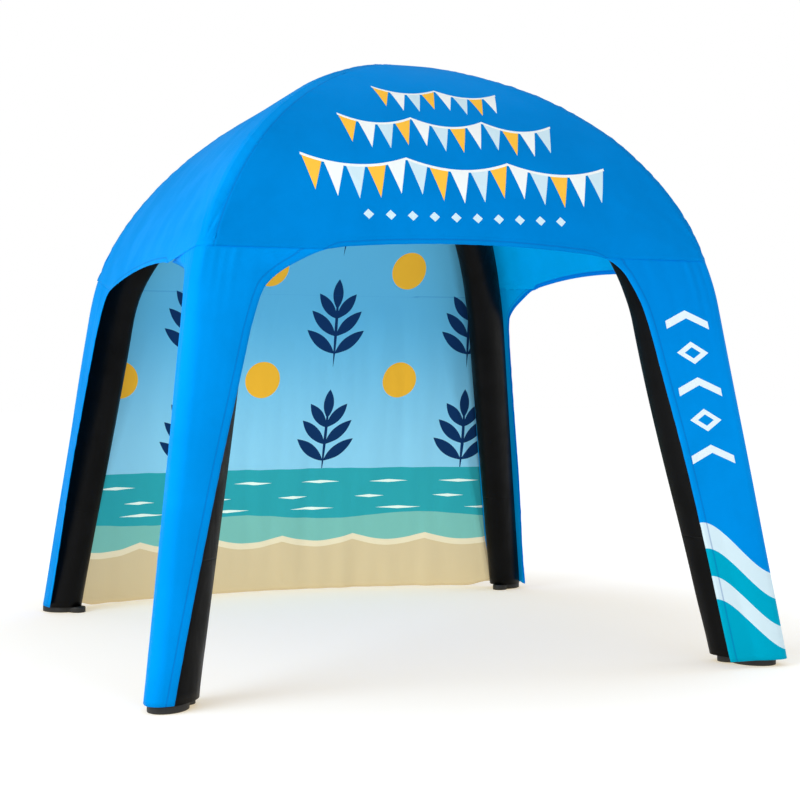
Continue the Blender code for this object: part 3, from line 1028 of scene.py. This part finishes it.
def sleeve(corner, turn, depths):
    look = sleeveLook
    diagonal = turn + 0.5
    end = placed(Vector((-look["block"] - plan["gap"], 0, 0)), diagonal, 0)
    inwards = quarters(diagonal) @ Vector((1, 0, 0))
    coarseFrom, fineFrom = look["creaseEase"]
    mapWide, mapTall = look["mapSize"]
    bm = bmesh.new()
    bmesh.ops.create_grid(bm, x_segments=look["around"], y_segments=look["rows"], size=0.5)
    spots = {}
    for vert in bm.verts:
        u, v = vert.co.x + 0.5, vert.co.y + 0.5
        out, rise, tilt, along, across = legStation(v, *depths)
        angle = 2 * math.pi * u
        coarse, fine = (
            high * ripple(math.cos(angle) * close, math.sin(angle) * close, v * upwards + turn)
            for high, close, upwards in look["creases"]
        )
        crease = (coarse + fine * smooth(0, fineFrom, v)) * smooth(0, coarseFrom, v)
        along, across = along + crease, across + crease
        out += along * math.cos(angle) * math.cos(tilt)
        rise += along * math.cos(angle) * math.sin(tilt)
        spots[vert] = u * mapWide, v * mapTall
        vert.co = placed(Vector((-out, across * math.sin(angle), rise)), diagonal, canopyStation(v)[0])
    mapCloth(bm, spots.get)
    bmesh.ops.remove_doubles(bm, verts=bm.verts, dist=1e-5)
    bmesh.ops.holes_fill(bm, edges=bm.edges)
    parts = bm.verts[:] + bm.edges[:] + bm.faces[:]
    cut = bmesh.ops.bisect_plane(bm, geom=parts, plane_co=end, plane_no=inwards, clear_outer=True)
    rim = [item for item in cut["geom_cut"] if isinstance(item, bmesh.types.BMEdge)]
    bmesh.ops.holes_fill(bm, edges=rim)
    bmesh.ops.recalc_face_normals(bm, faces=bm.faces)
    made = finishPiece("sleeve_" + corner, bm, (sleeveCloth,), "leg_" + corner)


footLook = {
    "large": (0.108, 0.082),  # half sizes along the diagonal and across it
    "small": (0.050, 0.046),
    "apart": 0.130,
    "out": 0.034,  # the large lobe's middle, outwards from the sleeve's
    "tucked": 0.116,  # and no nearer the cover's corner than this
    "edge": 0.006,
    "lowEdge": 0.002,
    "around": 96,
}


def footBase(corner, turn, depths):
    look = footLook
    middle = min(legStation(0, *depths)[0] + look["out"], ridgeOut(plan["footHalf"]) - look["tucked"])
    apart, height = look["apart"], plan["footHeight"]
    large, small = look["large"], look["small"]
    bm = bmesh.new()
    bmesh.ops.create_circle(bm, cap_ends=True, segments=look["around"], radius=1.0)
    for vert in bm.verts:
        x, y = vert.co.x, vert.co.y
        radius = 1 / math.hypot(x / large[0], y / large[1])
        # the far side of the smaller lobe, where this direction meets it
        a = (x / small[0]) ** 2 + (y / small[1]) ** 2
        b = -x * apart / small[0] ** 2
        c = (apart / small[0]) ** 2 - 1
        if b * b > a * c and x > 0:
            radius = max(radius, (-b + math.sqrt(b * b - a * c)) / a)
        vert.co = Vector((radius * x - middle, radius * y, 0))
    raised = bmesh.ops.extrude_face_region(bm, geom=bm.faces[:])
    tops = [item for item in raised["geom"] if isinstance(item, bmesh.types.BMVert)]
    bmesh.ops.translate(bm, vec=(0, 0, height), verts=tops)
    bmesh.ops.recalc_face_normals(bm, faces=bm.faces)
    rim = [edge for edge in bm.edges if all(vert.co.z > height / 2 for vert in edge.verts)]
    bevel(bm, rim, look["edge"], 4)
    low = [edge for edge in bm.edges if all(vert.co.z < 1e-6 for vert in edge.verts)]
    bevel(bm, low, look["lowEdge"], 2)
    bmesh.ops.rotate(bm, verts=bm.verts, matrix=quarters(turn + 0.5))
    bmesh.ops.translate(bm, verts=bm.verts, vec=(0, centreY, 0))
    finishPiece("footBase_" + corner, bm, (footRubber,), "foot_" + corner)


blockLook = {"edge": 0.04, "drop": 0.0284, "soft": 0.012}


def rise(edge):
    return abs(edge.verts[0].co.z - edge.verts[1].co.z)


def onRim(edge):
    first, second = edge.link_faces
    return abs(first.normal.z - second.normal.z) > 0.5


def crownBlock():
    look = blockLook
    side = 2 * sleeveLook["block"]
    height = 2 * (sleeveLook["crown"][0] - sleeveLook["space"])
    bm = bmesh.new()
    bmesh.ops.create_cube(bm, size=1)
    bmesh.ops.scale(bm, vec=(side, side, height), verts=bm.verts)
    bevel(bm, [edge for edge in bm.edges if rise(edge) > height / 2], look["edge"], 6)
    bevel(bm, [edge for edge in bm.edges if rise(edge) < 1e-6 and onRim(edge)], look["soft"], 4)
    bmesh.ops.rotate(bm, verts=bm.verts, matrix=quarters(0.5))
    lean = Vector((*plan["lean"], 0))
    middle = Vector((0, centreY, plan["crownHeight"] - look["drop"] - height / 2))
    bmesh.ops.translate(bm, vec=lean + middle, verts=bm.verts)
    mapCloth(bm, lambda vert: (vert.co.x + vert.co.y, vert.co.z))
    made = finishPiece("crownHub", bm, (sleeveCloth,), "crown_block")


wallLook = {
    "columns": 120,
    "rows": 100,
    "top": 2.36,
    "crease": 1.94,
    "bow": 0.30,
    "bowPower": 0.8,
    "inset": 0.007,
    "held": ((1.12, 1.28), (1.62, 1.78)),
    "lap": 0.020,
    "side": 0.22,
    "edge": 1 / 12,  # share of the half width that lies behind a leg cover
    "floor": 0.004,
    "lift": (0.82, 0.92),
    "free": (0.25, 0.15),  # folds start this far in from the covers and below the crease
    "broad": (0.012, 0.16, 1.3),
    "middling": (0.007, 0.08, 0.5),
    "creaseFolds": (0.002, 0.05, 0.2),
    "taut": (0.2, 0.004),  # near the crease and above it no fold stands higher than this
}


def wallHalf(height):
    side = min(reach(min(height, plan["seamHeight"])), wallLook["side"])
    return halfWidth(height) - side + wallLook["lap"]


def rearWall():
    look = wallLook
    edge = look["edge"]

    def place(u, v):
        across = 2 * u - 1
        low = look["floor"] + plan["footHeight"] * smooth(*look["lift"], abs(across))
        height = low + (look["top"] - low) * v
        half = halfWidth(height)
        door = half - reach(min(height, plan["seamHeight"]))
        lapped = max(abs(across) - 1 + edge, 0) / edge
        x = min(abs(across) / (1 - edge), 1) * door + lapped * (wallHalf(height) - door)
        x = math.copysign(x, across)
        hang = 1 - smooth(0, look["crease"], height)
        bow = look["bow"] * hang * max(1 - (x / door) ** 2, 0) ** look["bowPower"]
        held = lapped * (smooth(*look["held"][0], height) - smooth(*look["held"][1], height))
        inset = look["inset"] + (plan["cloth"] + plan["gap"] - look["inset"]) * held
        y = half - coverTuck(height, half - abs(x)) - inset + bow
        inwards, seam = door - abs(x), abs(height - look["crease"])
        offCover, offCrease = look["free"]
        free = smooth(0, offCover, inwards) * smooth(0, offCrease, look["crease"] - height)
        lift = drape(x, height, look["broad"], 2.0) * free
        lift += drape(x + look["middling"][1] * height, height, look["middling"], 6.0) * free
        high, close, offEdge = look["creaseFolds"]
        lift += high * ripple(x / close, 1.0, 8.0) * math.exp(-seam / close) * smooth(0, offEdge, inwards)
        near, most = look["taut"]
        lift = min(lift, most) if height > look["crease"] - near else lift
        facts = {"cloth": (x, height), "hem": height - low, "seam": seam, "seamRun": x, "lift": lift}
        return placed(Vector((x, y, height)), 0, half), facts

    cloths = wallOutside, wallInside
    return sewCloth("rearWallSheet", look, place, cloths, "rear_wall")


for turn, side in enumerate(sides):
    panel, area = roofPanel(side, turn)
for turn, (corner, before, after, depths, falls, wrap) in enumerate(corners):
    sleeve(corner, turn, depths)
    cover, area = legCover(corner, turn, before, after, falls, wrap)
    footBase(corner, turn, depths)
crownBlock()
wallSheet, area = rearWall()
print("pieces made")

# Floor, light and camera

floorLook = {
    "size": 60,
    "below": 0.001,
    "colour": (0.54, 0.65, 0.83, 1),
    "paintedGlow": ((0.54, 0.42, 0.22, 1), (0.74, 0.68, 0.56, 1)),
    "shadeLiftsAway": (1.7, 3.6),  # paler away from the tent, where less light falls; the dimmer glow near it is a painted shadow under and round the tent
    "roughness": 0.9,
}
floorMesh = bpy.data.meshes.new("floor")
bm = bmesh.new()
bmesh.ops.create_grid(bm, x_segments=1, y_segments=1, size=floorLook["size"])
bm.to_mesh(floorMesh)
bm.free()
floor = addObject("floor", floorMesh)
floor.location.z = -floorLook["below"]
# the floor glows, dimmer near the tent: painted shadow under and round it
floorPaint, tree, shader = newMaterial("studioFloor")
dress(tree, shader, floorLook["colour"], floorLook["roughness"], 0.0)
fromTent = newNode(tree, "VectorMath")
fromTent.operation = "LENGTH"
tree.links.new(objectSpace(tree), fromTent.inputs[0])
shadeLiftsAway = ramp(tree, fromTent.outputs["Value"], *floorLook["shadeLiftsAway"])
tree.links.new(blend(tree, shadeLiftsAway, *floorLook["paintedGlow"]), shader.inputs["Emission Color"])
shader.inputs["Emission Strength"].default_value = 1.0
floorMesh.materials.append(floorPaint)

studio = {
    "ambient": 0.42,
    "above": 0.55,
    "aboveAngle": 100,
    "aimHeight": 1.4,
    "key": ((-7.8, -3.5, 4.2), 6.0, 520),  # place, width and power
    "fill": ((1.5, -9.5, 1.8), 7.0, 130),
    "right": ((8.0, -1.0, 3.6), 4.0, 60),
    "tint": (1.0, 1.0, 0.92),
}
world = bpy.data.worlds.new("studio")
bpy.context.scene.world = world
world.use_nodes = True
tree = world.node_tree
ambient, seen = tree.nodes["Background"], newNode(tree, "Background")
for node, strength in ((ambient, studio["ambient"]), (seen, 1.0)):
    node.inputs["Color"].default_value = (1, 1, 1, 1)
    node.inputs["Strength"].default_value = strength
mixer = newNode(tree, "MixShader")
tree.links.new(newNode(tree, "LightPath").outputs["Is Camera Ray"], mixer.inputs[0])
tree.links.new(ambient.outputs[0], mixer.inputs[1])
tree.links.new(seen.outputs[0], mixer.inputs[2])
tree.links.new(mixer.outputs[0], tree.nodes["World Output"].inputs["Surface"])


def aim(made, direction):
    made.rotation_euler = direction.to_track_quat("-Z", "Y").to_euler()


def areaLight(name, place, width, watts):
    light = bpy.data.lights.new(name, "AREA")
    light.shape = "DISK"
    light.size = width
    light.energy = watts
    light.color = studio["tint"]
    made = addObject(name, light)
    made.location = place
    aim(made, Vector((0, 0, studio["aimHeight"])) - made.location)


for name in ("key", "fill", "right"):
    areaLight(name, *studio[name])
above = bpy.data.lights.new("above", "SUN")
above.angle = math.radians(studio["aboveAngle"])
above.energy = studio["above"]
addObject("above", above)

view = {
    "place": (-2.8696, -7.822, 1.3936),  # from the middle of the legs
    "yaw": 0.3633,
    "pitch": 0.0066,
    "lens": 68.2,
    "shift": (0.00864, -0.01117),
}
camera = bpy.data.cameras.new("camera")
camera.sensor_width = 36
camera.lens = view["lens"]
camera.shift_x, camera.shift_y = view["shift"]
cameraObject = addObject("camera", camera)
cameraObject.location = Vector(view["place"]) + Vector((0, centreY, 0))
level, drop = math.cos(view["pitch"]), math.sin(view["pitch"])
aim(cameraObject, Vector((math.sin(view["yaw"]) * level, math.cos(view["yaw"]) * level, -drop)))
bpy.context.scene.camera = cameraObject
bpy.context.scene.view_settings.view_transform = "Standard"
